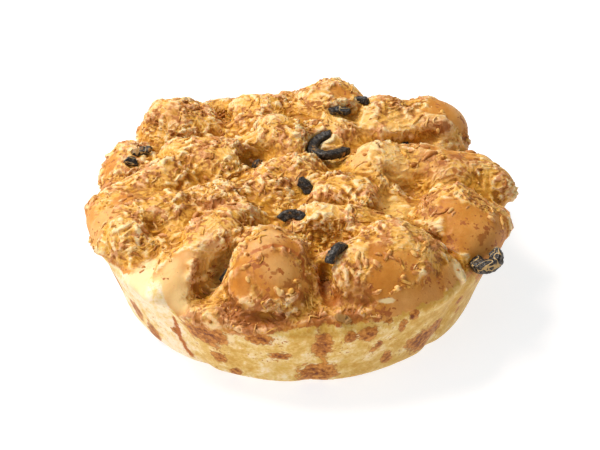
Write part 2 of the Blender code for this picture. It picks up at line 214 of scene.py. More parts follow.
def grain(places, size, seed=0):
    """Soft noise from about -1 to 1 at each place, with swellings of this size."""
    shift = Vector((seed * 7.3, seed * 3.1, seed * 5.7))
    return np.array([noise.noise(Vector(place) / size + shift) for place in places])


def write_number(obj, name, values):
    """One number for each vertex, kept on the mesh under this name."""
    layer = obj.data.attributes.get(name) or obj.data.attributes.new(name, "FLOAT", "POINT")
    layer.data.foreach_set("value", np.asarray(values, np.float32))


# %% Cheese cover
def cheese_cover(places, least, frayed, soft):
    """How much cheese lies at each place: 1 full, and this least amount on bare cheeks."""
    cover = fade(-0.5, 2.5, above_edge(places) + frayed * 0.6)
    for x, y, z, radius in BARE_CHEEKS:
        away = np.linalg.norm(places - (x, y, z), axis=1) + frayed
        thinned = least + (1 - least) * fade(radius * 0.95 - soft, radius + 1 + soft, away)
        cover = np.minimum(cover, thinned)
    return cover


def olive_room(obj):
    """0 on the olives and 1 a few millimetres away, for each vertex of the object."""
    bm = bmesh.new()
    for name, solid in frame["nodes"].items():
        if name.startswith("olive_"):
            bm.from_mesh(solid.data)
    tree = BVHTree.FromBMesh(bm)
    bm.free()
    # Beyond this many millimetres, how far it is makes no difference.
    far = 6.0
    away = [tree.find_nearest(vert.co, far * MM)[3] for vert in obj.data.vertices]
    return fade(0.2, 1.8, np.array([far if gap is None else gap / MM for gap in away]))


def spots(places, rows):
    """The strongest of these soft spots at each place, 0 outside them all."""
    best = np.zeros(len(places))
    for x, y, z, radius, strength in rows:
        away = np.linalg.norm(places - (x, y, z), axis=1)
        best = np.maximum(best, strength * (1 - fade(radius * 0.4, radius * 1.3, away)))
    return best


# %% Cheese on each vertex
dough_places = places_of(dough)
# How far the edge of the cheese wanders, in millimetres.
frayed = 3.0 * grain(dough_places, 9) + 1.5 * grain(dough_places, 3, 1)
cover = cheese_cover(dough_places, 0.0, frayed, 0.5)
write_number(dough, "cheese", cover)
# Strips lie in clumps, with a fifth as many between them, and fewer lie on the right.
fewer_right = 0.25 * fade(0, 55, dough_places[:, 0])
clumps = 0.2 + 0.8 * fade(-0.3, 0.3, grain(dough_places, 11, 4) - fewer_right)
clumps *= cheese_cover(dough_places, 0.03, frayed, 4.5) * olive_room(dough)
thin = spots(dough_places, THIN_PLACES)
clumps *= 1 - thin
write_number(dough, "strewn", clumps)
write_number(dough, "bare", (1 - cover) * fade(-4, 4, above_edge(dough_places)))
print("cheese lies on %.0f %% of the skin" % (100 * cover.mean()))

# %% [markdown]
# ## The melted cheese
#
# Grated cheese falls as short strips in every direction, then melts into the crust and
# stays as a maze of low ridges. Sculpting them would take days. Geometry Nodes scatter
# them: points on the skin, a short line on each, bent by noise and laid back on the
# surface, then swept into a strip. Crumbs of cheese are tiny lumps scattered the same way.

# %% Helpers for node trees
def node(tree, kind, inputs=None, **settings):
    """A new node. Inputs give a socket's name or number a value or another's output."""
    made = tree.nodes.new(kind)
    for name, value in settings.items():
        setattr(made, name, value)
    for place, value in (inputs or {}).items():
        if isinstance(place, int):
            socket = made.inputs[place]
        else:
            socket = [each for each in made.inputs if each.name == place and each.enabled][0]
        if isinstance(value, bpy.types.NodeSocket):
            tree.links.new(value, socket)
        else:
            socket.default_value = value
    return made


def output(made, name):
    """The output of a node that has this name."""
    return [each for each in made.outputs if each.name == name and each.enabled][0]


def sum_of(tree, operation, first, second=0.0, third=0.0):
    """The output of a Math node."""
    inputs = {0: first, 1: second}
    if operation == "MULTIPLY_ADD":
        inputs[2] = third
    return node(tree, "ShaderNodeMath", inputs, operation=operation).outputs[0]


def times(tree, first, second):
    """The product of two numbers."""
    return sum_of(tree, "MULTIPLY", first, second)


def vector_of(tree, operation, first, second=None, scale=None):
    """The output of a Vector Math node."""
    inputs = {0: first}
    if second is not None:
        inputs[1] = second
    if scale is not None:
        inputs[3] = scale
    made = node(tree, "ShaderNodeVectorMath", inputs, operation=operation)
    return output(made, "Value" if operation == "DOT_PRODUCT" else "Vector")


# %% Trees and their inputs
def new_tree(name, named_inputs):
    """A geometry tree with these named inputs, and the sockets that bring them in."""
    tree = bpy.data.node_groups.new(name, "GeometryNodeTree")
    sockets = tree.interface
    sockets.new_socket("Geometry", in_out="INPUT", socket_type="NodeSocketGeometry")
    for title, kind in named_inputs.items():
        sockets.new_socket(title, in_out="INPUT", socket_type="NodeSocket" + kind)
    sockets.new_socket("Geometry", in_out="OUTPUT", socket_type="NodeSocketGeometry")
    entry = tree.nodes.new("NodeGroupInput")
    return tree, {socket.name: socket for socket in entry.outputs if socket.name}


def end_tree(tree, geometry, material):
    """The tree's last steps: instances made real, the material set, and out."""
    real = node(tree, "GeometryNodeRealizeInstances", {"Geometry": geometry})
    inputs = {"Geometry": real.outputs[0], "Material": material}
    coated = node(tree, "GeometryNodeSetMaterial", inputs)
    node(tree, "NodeGroupOutput", {0: coated.outputs[0]})


def add_tree(obj, tree, values):
    """The tree as a modifier on the object, its inputs set by their identifiers."""
    modifier = obj.modifiers.new(tree.name, "NODES")
    modifier.node_group = tree
    for item in tree.interface.items_tree:
        if item.in_out == "INPUT" and item.name in values:
            modifier[item.identifier] = values[item.name]


# %% Helpers for numbers and places in a tree
def number_named(tree, name):
    """The number kept under this name on the geometry."""
    made = node(tree, "GeometryNodeInputNamedAttribute", {"Name": name}, data_type="FLOAT")
    return output(made, "Attribute")


def keep_number(tree, geometry, name, value):
    """The geometry, with this number kept on it."""
    inputs = {"Geometry": geometry, "Name": name, "Value": value}
    made = node(tree, "GeometryNodeStoreNamedAttribute", inputs, data_type="FLOAT")
    return made.outputs[0]


def chance(tree, low, high, seed):
    """A random number for each element."""
    inputs = {"Min": low, "Max": high, "Seed": seed}
    made = node(tree, "FunctionNodeRandomValue", inputs, data_type="FLOAT")
    return output(made, "Value")


def local_turn(tree, rotation, angle):
    """The rotation, turned further about its own upright axis."""
    inputs = {"Axis": (0.0, 0.0, 1.0), "Angle": angle}
    turn = node(tree, "FunctionNodeAxisAngleToRotation", inputs).outputs[0]
    inputs = {"Rotation": rotation, "Rotate By": turn}
    return node(tree, "FunctionNodeRotateRotation", inputs, rotation_space="LOCAL").outputs[0]


def noise_at(tree, place, size, detail=1.0):
    """Noise with swellings of this size in millimetres: a number and a colour."""
    inputs = {"Vector": place, "Scale": 1 / (size * MM), "Detail": detail}
    made = node(tree, "ShaderNodeTexNoise", inputs)
    return made.outputs["Fac"], made.outputs["Color"]


def wander(tree, place, size):
    """A noisy direction, each of its numbers from -0.5 to 0.5."""
    return vector_of(tree, "SUBTRACT", noise_at(tree, place, size)[1], (0.5, 0.5, 0.5))


def own_place(tree):
    """The place of each point."""
    return node(tree, "GeometryNodeInputPosition").outputs[0]


def own_normal(tree):
    """The direction that each point faces."""
    return node(tree, "GeometryNodeInputNormal").outputs[0]


def shifted(tree, geometry, way):
    """The geometry, with each of its points moved this way."""
    inputs = {"Geometry": geometry, "Offset": way}
    return node(tree, "GeometryNodeSetPosition", inputs).outputs[0]


def placed(tree, geometry, place):
    """The geometry, with each of its points at this place."""
    inputs = {"Geometry": geometry, "Position": place}
    return node(tree, "GeometryNodeSetPosition", inputs).outputs[0]


def strewn_points(tree, skin, density, seed):
    """Points on the skin where there is cheese, and a rotation that stands on it."""
    many = times(tree, density, number_named(tree, "strewn"))
    inputs = {"Mesh": skin, "Density": many, "Seed": seed}
    made = node(tree, "GeometryNodeDistributePointsOnFaces", inputs)
    points = keep_number(tree, made.outputs["Points"], "tone", chance(tree, 0.0, 1.0, 6))
    return points, made.outputs["Rotation"]


def join_parts(tree, parts):
    """All these geometries together."""
    joined = node(tree, "GeometryNodeJoinGeometry")
    for part in parts:
        tree.links.new(part, joined.inputs[0])
    return joined.outputs[0]


# %% Helpers for strips
HALF_TURN = 3.1416


def laid_on(tree, geometry, skin, lift):
    """Every point of the geometry moved to the skin and raised by the lift."""
    nearest = node(tree, "GeometryNodeProximity", {"Geometry": skin}, target_element="FACES")
    inputs = {"Mesh": skin, "Value": own_normal(tree)}
    outward = node(tree, "GeometryNodeSampleNearestSurface", inputs, data_type="FLOAT_VECTOR")
    raised = vector_of(tree, "SCALE", output(outward, "Value"), scale=lift)
    return placed(tree, geometry, vector_of(tree, "ADD", nearest.outputs["Position"], raised))


def short_line(tree, length, bends):
    """A straight line of this length, with points enough to bend."""
    half = times(tree, length, 0.5)
    ends = [times(tree, half, -1.0), half]
    ends = [node(tree, "ShaderNodeCombineXYZ", {0: end}).outputs[0] for end in ends]
    line = node(tree, "GeometryNodeCurvePrimitiveLine", {"Start": ends[0], "End": ends[1]})
    inputs = {"Curve": line.outputs[0], "Count": bends}
    return node(tree, "GeometryNodeResampleCurve", inputs).outputs[0]


def swept(tree, curve, place, radius, sides):
    """The curve as a strip, thickest in its middle and uneven all along."""
    along = node(tree, "GeometryNodeSplineParameter").outputs["Factor"]
    arch = sum_of(tree, "SINE", times(tree, along, HALF_TURN))
    taper = sum_of(tree, "MULTIPLY_ADD", arch, 0.55, noise_at(tree, place, 2.4)[0])
    taper = times(tree, taper, number_named(tree, "thickness"))
    inputs = {"Resolution": sides, "Radius": radius}
    ring = node(tree, "GeometryNodeCurvePrimitiveCircle", inputs).outputs[0]
    inputs = {"Curve": curve, "Profile Curve": ring, "Scale": taper, "Fill Caps": True}
    return node(tree, "GeometryNodeCurveToMesh", inputs).outputs[0]


# %% Tree that strews strips
def strip_tree(name, keep_skin):
    """A tree that strews bent strips of cheese over a skin."""
    tree, given = new_tree(name, {
        "Strips per square metre": "Float", "Strip length": "Float",
        "Strip radius": "Float", "Wiggle": "Float", "Lift": "Float",
        "Sides": "Int", "Bends": "Int", "Seed": "Int", "Material": "Material",
    })
    skin = given["Geometry"]
    points, standing = strewn_points(tree, skin, given["Strips per square metre"], given["Seed"])
    points = keep_number(tree, points, "thickness", chance(tree, 0.5, 1.35, 5))
    line = short_line(tree, given["Strip length"], given["Bends"])
    place = own_place(tree)
    # Neighbours lie much the same way, in swirls about 31 mm wide.
    swirl = noise_at(tree, place, 31)[0]
    angle = sum_of(tree, "MULTIPLY_ADD", swirl, 18.0, chance(tree, -0.7, 0.7, 7))
    stretch = node(tree, "ShaderNodeCombineXYZ", {0: chance(tree, 0.4, 1.5, 8), 1: 1.0, 2: 1.0})
    inputs = {
        "Points": points, "Instance": line,
        "Rotation": local_turn(tree, standing, angle), "Scale": stretch.outputs[0],
    }
    laid = node(tree, "GeometryNodeInstanceOnPoints", inputs).outputs[0]
    lines = node(tree, "GeometryNodeRealizeInstances", {"Geometry": laid}).outputs[0]
    # Noise bends each line, which leaves the skin, so it is laid back on it.
    bend = vector_of(tree, "SCALE", wander(tree, place, 5.3), scale=given["Wiggle"])
    seated = laid_on(tree, shifted(tree, lines, bend), skin, given["Lift"])
    strips = swept(tree, seated, place, given["Strip radius"], given["Sides"])
    joined = join_parts(tree, [strips, skin] if keep_skin else [strips])
    end_tree(tree, joined, given["Material"])
    return tree


# %% Tree that strews crumbs
FULL_TURN = 6.28


def crumb_tree(name, keep_skin):
    """A tree that strews uneven crumbs of cheese over a skin, in drifts."""
    tree, given = new_tree(name, {
        "Crumbs per square metre": "Float", "Crumb radius": "Float",
        "Roundness": "Int", "Seed": "Int", "Material": "Material",
    })
    skin = given["Geometry"]
    place = own_place(tree)
    # Crumbs gather in drifts about 9 mm wide.
    inputs = {"Value": noise_at(tree, place, 9, 2.0)[0], "From Min": 0.38, "From Max": 0.62}
    drift = node(tree, "ShaderNodeMapRange", inputs).outputs["Result"]
    density = times(tree, given["Crumbs per square metre"], drift)
    points, standing = strewn_points(tree, skin, density, given["Seed"])
    inputs = {"Radius": given["Crumb radius"], "Subdivisions": given["Roundness"]}
    crumb = node(tree, "GeometryNodeMeshIcoSphere", inputs).outputs[0]
    inputs = {"Min": (0.5, 0.4, 0.35), "Max": (1.7, 1.1, 0.9), "Seed": 10}
    size = node(tree, "FunctionNodeRandomValue", inputs, data_type="FLOAT_VECTOR")
    inputs = {
        "Points": points, "Instance": crumb,
        "Rotation": local_turn(tree, standing, chance(tree, 0.0, FULL_TURN, 11)),
        "Scale": output(size, "Value"),
    }
    strewn = node(tree, "GeometryNodeInstanceOnPoints", inputs).outputs[0]
    crumbs = node(tree, "GeometryNodeRealizeInstances", {"Geometry": strewn}).outputs[0]
    # Noise finer than a crumb pushes each of them out of round.
    reach = times(tree, given["Crumb radius"], 2.2)
    push = vector_of(tree, "SCALE", wander(tree, place, 1.6), scale=reach)
    crumbs = shifted(tree, crumbs, push)
    joined = join_parts(tree, [crumbs, skin] if keep_skin else [crumbs])
    end_tree(tree, joined, given["Material"])
    return tree


# %% [markdown]
# ## Smooth cheeks and deep furrows
#
# Rising dough pulls its skin tight, and where two pieces press together a furrow stays. The
# solid's facets still show faintly, so bare dough is ironed smooth by blurring its
# positions. The gap between the surface and a much blurrier copy of itself says how hollow
# each vertex lies. That number deepens the furrows here, and later it colours them yellow
# and paints shade into the deepest ones.

# %% Hollows of the dough
def hollow_by(tree, steps):
    """How far each vertex lies below the blurred surface, in millimetres."""
    place = own_place(tree)
    inputs = {"Value": place, "Iterations": steps}
    blurred = node(tree, "GeometryNodeBlurAttribute", inputs, data_type="FLOAT_VECTOR")
    gap = vector_of(tree, "SUBTRACT", output(blurred, "Value"), place)
    return times(tree, vector_of(tree, "DOT_PRODUCT", gap, own_normal(tree)), 1 / MM)


def furrow_tree():
    """A tree that irons bare dough, keeps how hollow it all is and deepens the furrows."""
    tree, given = new_tree("furrows", {
        "Iron": "Int", "Swell": "Float", "Deepen": "Float", "Material": "Material",
    })
    place = own_place(tree)
    inputs = {"Value": place, "Iterations": given["Iron"]}
    ironed = node(tree, "GeometryNodeBlurAttribute", inputs, data_type="FLOAT_VECTOR")
    normal = own_normal(tree)
    swell = vector_of(tree, "SCALE", normal, scale=given["Swell"])
    ironed = vector_of(tree, "ADD", output(ironed, "Value"), swell)
    inputs = {0: number_named(tree, "bare"), 4: place, 5: ironed}
    mixed = node(tree, "ShaderNodeMix", inputs, data_type="VECTOR").outputs[1]
    smooth = placed(tree, given["Geometry"], mixed)
    kept = keep_number(tree, smooth, "valley", hollow_by(tree, steps=140))
    sink = times(tree, number_named(tree, "valley"), given["Deepen"])
    sink = times(tree, sink, number_named(tree, "cheese"))
    sunk = shifted(tree, kept, vector_of(tree, "SCALE", normal, scale=sink))
    end_tree(tree, sunk, given["Material"])
    return tree


# %% Iron and deepen
crust_finish = bpy.data.materials.new("baked crust")
add_tree(dough, furrow_tree(), {
    "Iron": 110, "Swell": 0.7 * MM, "Deepen": -0.6 * MM, "Material": crust_finish,
})
make_plain(dough)


def print_number(obj, name):
    """Prints the low, middle and high values of a number kept on the mesh."""
    values = np.zeros(len(obj.data.vertices))
    obj.data.attributes[name].data.foreach_get("value", values)
    print("%-7s" % name, " ".join("%.2f" % value for value in np.percentile(values, [5, 50, 95])))


print_number(dough, "valley")

# %% [markdown]
# ## One crust
#
# Now the strips and crumbs are strewn on the dough and melted into it. A Boolean union of
# some thousand strips would be slow and fragile. A voxel remesh swallows them all at once,
# because it only asks what is inside, and it leaves soft joints as melted cheese does.

# %% Strew and melt
def spare_copy(obj, name):
    """A copy of the object with its own mesh."""
    made = obj.copy()
    made.data = obj.data.copy()
    made.name = name
    bpy.context.scene.collection.objects.link(made)
    return made


def strip_values(many, length, radius, wiggle, lift, sides, bends, seed, material):
    """The inputs of a tree of strips: how many on a square metre, sizes in millimetres."""
    return {
        "Strips per square metre": many, "Strip length": length * MM,
        "Strip radius": radius * MM, "Wiggle": wiggle * MM, "Lift": lift * MM,
        "Sides": sides, "Bends": bends, "Seed": seed, "Material": material,
    }


def crumb_values(many, radius, roundness, seed, material):
    """The inputs of a tree of crumbs, in the same terms."""
    return {
        "Crumbs per square metre": many, "Crumb radius": radius * MM,
        "Roundness": roundness, "Seed": seed, "Material": material,
    }


crust = spare_copy(dough, "crust")
add_tree(crust, strip_tree("melted strips", keep_skin=True), strip_values(
    many=42000.0, length=7, radius=1.0, wiggle=6, lift=-0.15, sides=6, bends=6, seed=3,
    material=crust_finish,
))
add_tree(crust, crumb_tree("melted crumbs", keep_skin=True), crumb_values(
    many=50000.0, radius=1.2, roundness=2, seed=5, material=crust_finish,
))
add_modifier(crust, "One crust", "REMESH", mode="VOXEL", voxel_size=NET)
add_modifier(crust, "Softened", "SMOOTH", factor=0.5, iterations=1)
make_plain(crust)
print("crust:", len(crust.data.polygons), "faces")

# %% [markdown]
# ## What the oven marks, and where shade and light are painted
#
# Cheese browns where it stands up and stays yellow where it lies low, and the finish also
# paints shade into its dips and light onto its crests. It needs to know both, so another
# tree measures the crust against the bare skin and keeps the numbers on its vertices: how
# far it rises above the dough, and how hollow it is nearby. The same tree adds the last
# small relief: crooked ridges like the edges of melted strips, rough grain in the cheese
# and a slight one on bare dough.

# %% Crooked ridges
# How far apart the ridges lie, in millimetres.
RIDGE_GAP = 3.6


def step_of(tree, value, low, high):
    """0 below low, 1 above high, and a smooth step between."""
    inputs = {"Value": value, "From Min": low, "From Max": high}
    made = node(tree, "ShaderNodeMapRange", inputs, interpolation_type="SMOOTHSTEP")
    return made.outputs["Result"]


def ridges(tree, place, size):
    """Crooked ridges, 1 on their crest and 0 between, about this many millimetres apart."""
    drift = vector_of(tree, "SCALE", wander(tree, place, 5 * size), scale=6 * size * MM)
    bent = vector_of(tree, "ADD", place, drift)
    bent = vector_of(tree, "MULTIPLY", bent, (0.75, 1.0, 0.9))
    # Where smooth noise passes its middle value, it draws long crooked lines.
    wave = noise_at(tree, bent, size)[0]
    away = sum_of(tree, "ABSOLUTE", sum_of(tree, "SUBTRACT", wave, 0.5))
    return step_of(tree, away, 0.13, 0.0)


# %% Tree that measures the crust
def marks_tree():
    """A tree that keeps cheese, rise and dips on the crust and roughens it."""
    tree, given = new_tree("crust marks", {
        "Bare dough": "Object", "Ridge relief": "Float", "Cheese relief": "Float",
        "Dough relief": "Float", "Material": "Material",
    })
    inputs = {"Object": given["Bare dough"]}
    bare = node(tree, "GeometryNodeObjectInfo", inputs, transform_space="RELATIVE")
    bare = output(bare, "Geometry")
    geometry = given["Geometry"]
    for name in ("cheese", "valley", "strewn"):
        inputs = {"Mesh": bare, "Value": number_named(tree, name)}
        found = node(tree, "GeometryNodeSampleNearestSurface", inputs, data_type="FLOAT")
        geometry = keep_number(tree, geometry, name, output(found, "Value"))
    nearest = node(tree, "GeometryNodeProximity", {"Geometry": bare}, target_element="FACES")
    rise = times(tree, nearest.outputs["Distance"], 1 / MM)
    geometry = keep_number(tree, geometry, "rise", rise)
    geometry = keep_number(tree, geometry, "dip", hollow_by(tree, steps=6))
    place = own_place(tree)
    grit = sum_of(tree, "SUBTRACT", noise_at(tree, place, 2.6, 2.0)[0], 0.5)
    inputs = {0: number_named(tree, "cheese"), 2: given["Dough relief"], 3: given["Cheese relief"]}
    ratio = node(tree, "ShaderNodeMix", inputs, data_type="FLOAT").outputs[0]
    height = times(tree, grit, times(tree, ratio, 2.0))
    crest = sum_of(tree, "SUBTRACT", ridges(tree, place, RIDGE_GAP), 0.4)
    crest = times(tree, crest, number_named(tree, "cheese"))
    crest = times(tree, crest, number_named(tree, "strewn"))
    height = sum_of(tree, "MULTIPLY_ADD", crest, given["Ridge relief"], height)
    rough = shifted(tree, geometry, vector_of(tree, "SCALE", own_normal(tree), scale=height))
    inputs = {"Geometry": rough, "Shade Smooth": True}
    smooth = node(tree, "GeometryNodeSetShadeSmooth", inputs).outputs[0]
    end_tree(tree, smooth, given["Material"])
    return tree


# %% Measure and roughen
add_tree(crust, marks_tree(), {
    "Bare dough": dough, "Ridge relief": 1.35 * MM, "Cheese relief": 0.6 * MM,
    "Dough relief": 0.1 * MM, "Material": crust_finish,
})
make_plain(crust)
for name in ("cheese", "rise", "dip", "valley"):
    print_number(crust, name)

# %% [markdown]
# ## The wall that the tin shaped
#
# The side of the loaf baked pale against the tin. Where cheese ran down between dough and
# tin it fried into brown patches, and where two pieces of dough met, the wall stayed the
# colour of crumb. Each patch has its place: an angle around the tin, a height, and half its
# width and height. A number that is 1 in the middle of a patch and falls to 0 at its edge
# is enough, because the finish can cut a crisp, frayed edge out of it later.

# %% Patches of the wall
# Fried patches, bare crumb and yellow stains: angle in degrees, height, half width and half
# height in millimetres.
FRIED_PATCHES = [
    (-100.5, 31.8, 6.3, 4.4), (-94.8, 21.4, 4.7, 3.0), (-83.4, 27.4, 4.7, 9.2),
    (-76.3, 32.0, 2.6, 3.4), (-71.0, 32.2, 4.0, 4.6), (-65.4, 36.4, 2.4, 1.6),
    (-60.9, 31.4, 1.9, 4.2), (-58.2, 36.2, 2.6, 3.4), (-38.2, 26.0, 2.2, 2.8),
    (-67.3, 23.1, 2.0, 3.1), (-63.5, 11.1, 2.7, 4.1), (-68.5, 20.2, 2.0, 2.3),
    (-51.6, 13.5, 8.5, 8.0), (-46.8, 20.7, 2.6, 3.2), (-44.5, 15.0, 3.4, 4.4),
    (-36.0, 18.0, 1.6, 1.8), (-109.0, 5.3, 2.9, 3.2), (-115.6, 29.3, 10.5, 9.0),
    (-113.2, 13.3, 4.1, 4.0), (-146.3, 14.9, 5.0, 6.0), (-139.6, 6.9, 4.9, 6.7),
    (-121.7, 42.0, 1.8, 2.3), (-127.6, 20.3, 2.2, 2.6), (-84.7, 8.2, 9.3, 6.5),
]
CRUMB_PATCHES = [
    (-136.5, 40.5, 11.5, 6.5), (-39.6, 42.6, 4.6, 5.0), (-64.9, 44.0, 4.0, 1.3),
    (-108.2, 28.5, 2.3, 4.5),
]
YELLOW_PATCHES = [(-94.7, 12.8, 6.0, 5.7), (-76.3, 14.9, 2.7, 5.0), (-60.0, 6.0, 8.0, 5.0)]


# %% Strength of a patch
def patch_strength(places, patches):
    """1 in the middle of a patch, 0 at its edge, and below 0 outside."""
    angle = angle_of(places)
    best = np.full(len(places), -1.0)
    reach = np.hypot(places[:, 0], places[:, 1])
    for middle, height, half_wide, half_high in patches:
        turn = (angle - middle + 180) % 360 - 180
        across = np.radians(turn) * reach / half_wide
        up = (places[:, 2] - height) / half_high
        best = np.maximum(best, 1 - np.hypot(across, up))
    return best


def patches_behind(count, seed):
    """More patches of the same kinds around the side that the photograph hides."""
    rng = np.random.default_rng(seed)
    rows = []
    for turn in np.linspace(-28, 204, count):
        wide = rng.uniform(2.0, 7.5)
        row = (turn + rng.uniform(-6, 6), rng.uniform(4, 34), wide, wide * rng.uniform(0.7, 1.4))
        rows.append(row)
    return rows


# %% [markdown]
# ## Places that the oven treated differently, with painted light and shade
#
# Heat is uneven on a lumpy crown. Sheltered dough stays blond, cheese in a hollow stays
# yellow and soft, and what stands out or dripped onto the ledge in front is toasted. The same
# tables also paint light and shade into the colour: paler where the crown catches the light,
# lighter over some shaded hollows, and darker in some gaps between the pieces. A rule from
# height and slope alone would miss most of this, so the places were read off the photograph
# one by one. Each is a row in a table: a soft ball in space and a strength.

# %% Pale, soft and toasted places
# Pale dough on the crown, and painted light where the crown catches the light: x, y and z
# from the tin's axis, a radius and how pale.
BLOND_AND_LIT_PLACES = [
    (-51, -72, 49, 9, 0.65), (-54, -65, 53, 7, 0.5), (-49, -75, 42, 7, 0.95),
    (-58, -70, 42, 8, 0.95), (-26, 61, 55, 9, 0.8), (-18, 61, 58, 8, 0.8),
    (-8, 65, 56, 8, 0.8), (-91, -32, 45, 9, 0.3), (-84, -26, 50, 8, 0.3),
    (-12, -56, 64, 8, 0.4), (-38, -55, 57, 6, 0.2), (-44, -60, 54, 7, 0.4),
    (-16, -64, 62, 6, 0.35), (46, -80, 41, 8, 0.15), (56, -74, 41, 8, 0.15),
    (66, -64, 41, 7, 0.2), (76, 62, 48, 9, 0.3), (-8, -75, 58, 8, 0.25), (81, -43, 50, 9, 0.1),
    (67, -59, 45, 7, 0.2), (-20, 88, 44, 9, 0.4), (92, 20, 42, 9, 0.3), (50, 80, 46, 9, 0.2),
    (-70, 62, 46, 8, 0.3), (28, 12, 57, 6, 0.4),
]
# Cheese that stayed yellow and soft in a sheltered place, and painted light that lifts the
# shade of these hollows, in the same terms.
SOFT_AND_LIT_PLACES = [
    (-36, -54, 43, 13, 1.0), (-30, -58, 46, 8, 0.8), (30, 15, 58, 9, 0.7),
    (44, 15, 57, 10, 0.4), (58, 22, 57, 11, 0.3), (72, 34, 47, 10, 0.6), (48, 46, 56, 9, 0.4),
    (60, 52, 57, 7, 0.4), (43, 4, 51, 9, 0.7), (43, -17, 48, 9, 0.9), (64, -2, 51, 7, 0.4),
    (-48, -74, 41, 6, 0.5), (-35, -84, 38, 6, 0.4), (-22, -82, 47, 6, 0.3),
    (17, 47, 55, 8, 0.6), (32, 48, 55, 8, 0.7), (74, 40, 43, 8, 0.6), (-36, -60, 42, 6, 0.8),
]
# Well browned cheese, as on the ledge in front, and painted shade in a few gaps, in the
# same terms.
TOASTED_AND_SHADED_PLACES = [
    (-28, -82, 40, 9, 1.0), (-20, -86, 39, 8, 1.0), (-9, -89, 39, 8, 1.0),
    (9, -89, 38, 9, 1.0), (22, -84, 38, 7, 1.0), (-38, -70, 46, 6, 0.8), (2, -80, 49, 7, 0.8),
    (-15, -83, 48, 6, 0.7), (7, -72, 51, 6, 0.8), (11, -66, 40, 8, 1.0),
    (-20, -72, 56, 5, 0.6), (52, -8, 46, 6, 0.5), (25, -77, 46, 8, 0.8), (66, -62, 42, 4, 0.6),
    (80, -40, 46, 5, 0.6), (-2, -79, 51, 6, 0.9), (15, -75, 41, 6, 1.0), (20, -68, 50, 6, 0.8),
    (-37, -23, 52, 8, 0.9), (-47, -19, 53, 6, 0.7), (-43, -60, 50, 5, 0.6),
    (-45, -67, 43, 5, 0.6), (-38, -52, 57, 5, 0.5), (-36, -29, 56, 7, 0.7),
    (56, -25, 53, 6, 0.6), (68, -31, 57, 6, 0.4), (54, -54, 57, 6, 0.4),
    (-8, -75, 58, 10, 0.4), (-24, -76, 54, 6, 0.4), (30, -78, 46, 7, 0.6),
    (84, -40, 50, 7, 0.4), (-58, 48, 58, 8, 0.5), (-66, 42, 58, 7, 0.4), (64, 25, 55, 7, 0.5),
    (10, 66, 62, 7, 0.4), (72, 13, 57, 6, 0.9), (65, 7, 56, 5, 0.8), (78, 10, 55, 5, 0.7),
    (58, 6, 53, 4, 0.6), (62, 43, 56, 5, 0.8), (68, 43, 54, 5, 0.9), (54, 50, 57, 5, 0.5),
    (80, -43, 50, 4, 0.9),
]

# %% [markdown]
# ## Thin seams and paler pieces
#
# A brown line runs along the fold of the front ball, and another down a crease of the wall,
# where melted cheese ran and fried. Such a line could be a thin piece of its own, but it
# has no thickness to speak of. Here it is a path of a few points, and each vertex takes its
# number from its distance to the path. Around the wall the pieces of dough differ in
# paleness, and the tone changes at their creases.

# %% Seams
# Thin brown seams: the ball's upper edge, and where cheese ran down creases of the wall.
SEAMS = [
    [(-20, -68, 61), (-15, -66, 62), (-9, -64, 62), (-2, -63, 58), (2, -64, 54), (2, -71, 51)],
    [(-53, -71, 30), (-52, -70, 22), (-51, -69, 16), (-49, -68, 10), (-46, -68, 5)],
]
# How far a seam's colour spreads to each side, in millimetres.
SEAM_WIDTH = 1.6


def seam_strength(places):
    """1 on a seam and 0 from its width away."""
    nearest = np.full(len(places), SEAM_WIDTH)
    for path in SEAMS:
        for start, end in zip(path[:-1], path[1:]):
            start, along = np.array(start), np.subtract(end, start)
            share = np.clip((places - start) @ along / (along @ along), 0, 1)
            away = np.linalg.norm(places - start - share[:, None] * along, axis=1)
            nearest = np.minimum(nearest, away)
    return 1 - nearest / SEAM_WIDTH


# %% Paleness of the wall
# How pale the wall of each dough piece is, from the crease at this angle onwards.
PALE_PIECES = [
    (-184, 0.95), (-124, 0.5), (-85, 0.3), (-43, 0.15), (21, 0.6), (74, 0.35), (129, 0.8),
]
# How many degrees a crease leans on its way up the wall, and half its width in degrees.
LEAN, HALF_CREASE = 3, 3
WALL_HEIGHT = 35


def wall_paleness(places):
    """How pale the wall is around the loaf, with a soft change at each crease."""
    first, pale_first = PALE_PIECES[0]
    angle = angle_of(places)
    angle = np.where(angle < first, angle + 360, angle)
    angle += LEAN * (places[:, 2] / WALL_HEIGHT - 0.5)
    pale = np.full(len(places), pale_first)
    for (start, tone), (_, before) in zip(PALE_PIECES[1:], PALE_PIECES[:-1]):
        pale += (tone - before) * fade(start - HALF_CREASE, start + HALF_CREASE, angle)
    return pale


# %% Numbers on the crust
crust_places = places_of(crust)
fried = patch_strength(crust_places, FRIED_PATCHES + patches_behind(count=34, seed=4))
for name, values in {
    "fried": fried,
    "crumb": patch_strength(crust_places, CRUMB_PATCHES),
    "yellow": patch_strength(crust_places, YELLOW_PATCHES),
    "pale": wall_paleness(crust_places),
    "blond": spots(crust_places, BLOND_AND_LIT_PLACES),
    "soft": spots(crust_places, SOFT_AND_LIT_PLACES),
    "toasted": spots(crust_places, TOASTED_AND_SHADED_PLACES),
    "seam": seam_strength(crust_places),
    "above_edge": above_edge(crust_places),
}.items():
    write_number(crust, name, values)
print("fried patches cover %.1f %% of the crust" % (100 * (fried > 0).mean()))

# %% [markdown]
# ## The underside
#
# The loaf stands on a flat base. The net of the remesh is far too fine there for a surface
# that has no relief, so its faces are dissolved into one. Elsewhere a Decimate modifier
# takes away the net's triangles where the surface is plain and keeps them in the cheese.

# %% Flat underside and a lighter net
MOST_TRIANGLES = 196000
# The smoothed base is uneven by about this much.
BASE_RELIEF = 0.55 * MM


